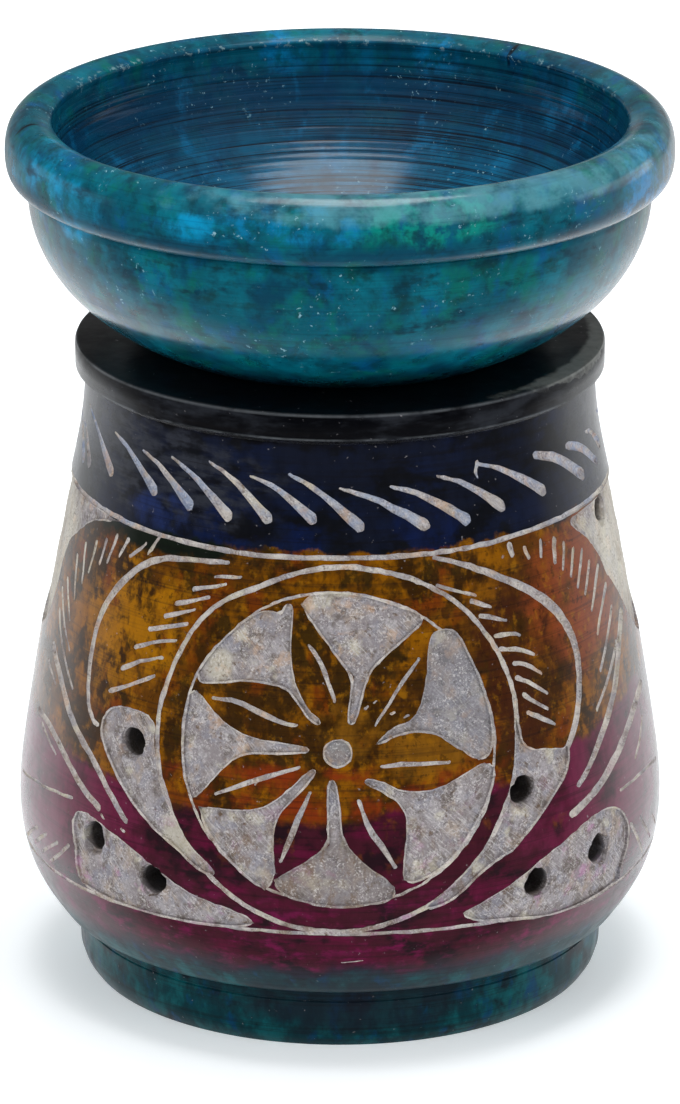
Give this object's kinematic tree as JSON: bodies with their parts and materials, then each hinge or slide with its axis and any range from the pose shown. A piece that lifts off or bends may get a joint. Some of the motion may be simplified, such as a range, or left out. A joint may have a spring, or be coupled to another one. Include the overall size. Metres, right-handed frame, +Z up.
{
  "type": "essential oil burner",
  "caption": "Carved soapstone essential oil burner: a hollow drilled body with a back window for a tealight, and a loose oil bowl in its collar.",
  "frame": {"origin": "centre of the foot's underside, on the surface that the burner stands on", "axes": "+Z up the turned axis, -Y towards the carved front, +Y out of the tealight window at the back"},
  "size_m": [0.0786, 0.0786, 0.1061],
  "materials": {
    "dyed_body_stone": "satin",
    "dyed_bowl_stone": "satin",
    "cup_aluminium": "satin",
    "wax": "satin",
    "wick_cotton": "matte",
    "tab_steel": "satin"
  },
  "bodies": {
    "base": {"burner_body": "dyed_body_stone"},
    "bowl": {"oil_bowl": "dyed_bowl_stone"},
    "tealight": {"tealight_cup": "cup_aluminium", "tealight_wax": "wax", "tealight_wick": "wick_cotton", "wick_tab": "tab_steel"}
  },
  "joints": [
    {"name": "bowl_lift", "type": "slide", "parent": "base", "child": "bowl", "axis": [0, 0, 1], "range_m": [0, 0.04]},
    {"name": "tealight_slide", "type": "slide", "parent": "base", "child": "tealight", "axis": [0, 1, 0], "range_m": [0, 0.065]}
  ]
}
